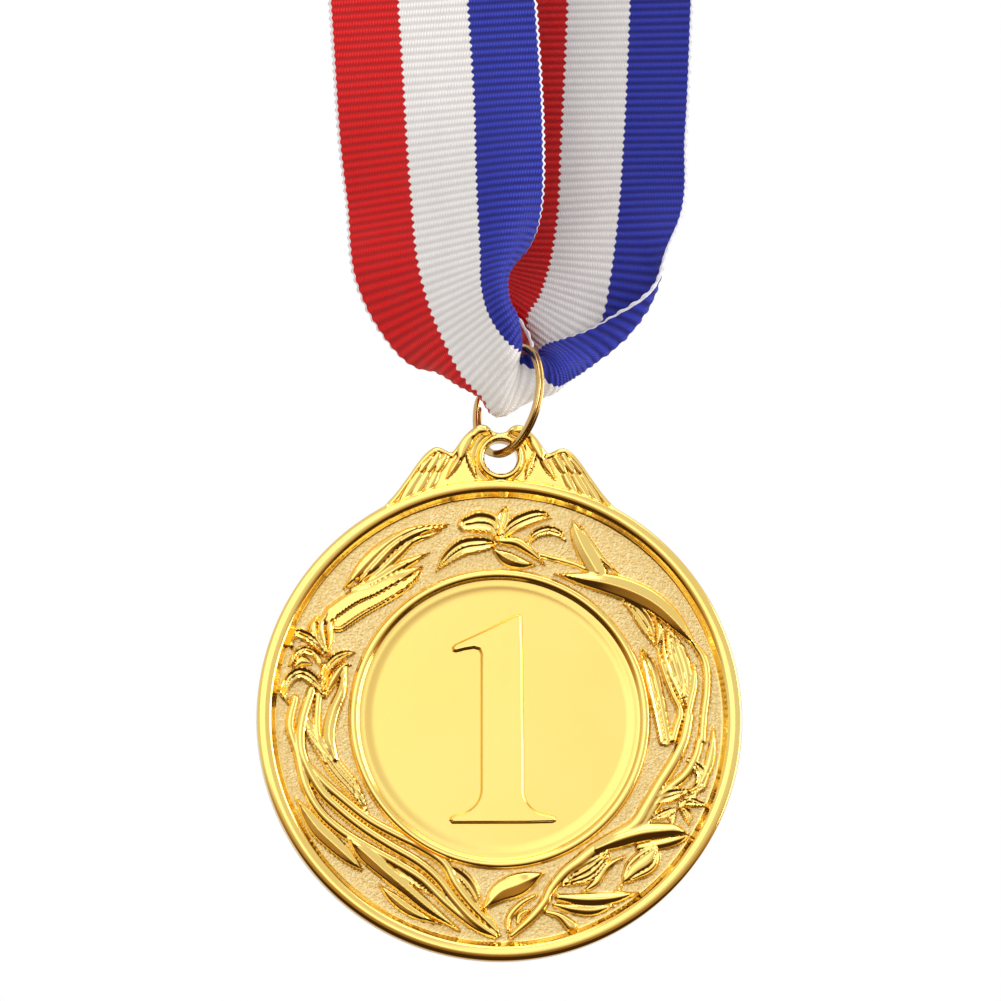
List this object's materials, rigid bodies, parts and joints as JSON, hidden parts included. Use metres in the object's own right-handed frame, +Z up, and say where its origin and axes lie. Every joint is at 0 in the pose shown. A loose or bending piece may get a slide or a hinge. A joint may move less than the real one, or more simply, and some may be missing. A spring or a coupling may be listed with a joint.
{
  "type": "medal",
  "caption": "Round gold award medal with a raised numeral, wreath relief and winged eyelet, on a split ring and a striped neck ribbon.",
  "frame": {"origin": "centre of the disc on the flat plane of the medal's back", "axes": "+Z up along the hanging ribbon, +X to the right as the medal is seen, +Y out of the medal's back, so the front faces -Y"},
  "size_m": [0.051, 0.018, 0.4367],
  "materials": {
    "gold_plate": "polished gold plate, sandblasted in the recessed field",
    "ring_gold": "polished gold plate, slightly duller",
    "ribbon_cloth": "ribbed grosgrain weave in red, white and blue stripes",
    "white_thread": "sewing thread"
  },
  "bodies": {
    "ribbon": {"ribbon": "ribbon_cloth", "seam_needle_thread": "white_thread", "seam_bobbin_thread": "white_thread"},
    "split_ring": {"split_ring": "ring_gold"},
    "medal": {"medal_body": "gold_plate"}
  },
  "joints": [
    {"name": "ring_swing", "type": "hinge", "parent": "ribbon", "child": "split_ring", "pos_m": [0.00178, -0.00036, 0.03936], "axis": [-0.854, -0.493, 0.166], "range_deg": [-12, 12]},
    {"name": "medal_swing", "type": "hinge", "parent": "split_ring", "child": "medal", "pos_m": [0.00015, -0.0013, 0.0282], "axis": [0, 1, 0], "range_deg": [-30, 30]}
  ]
}
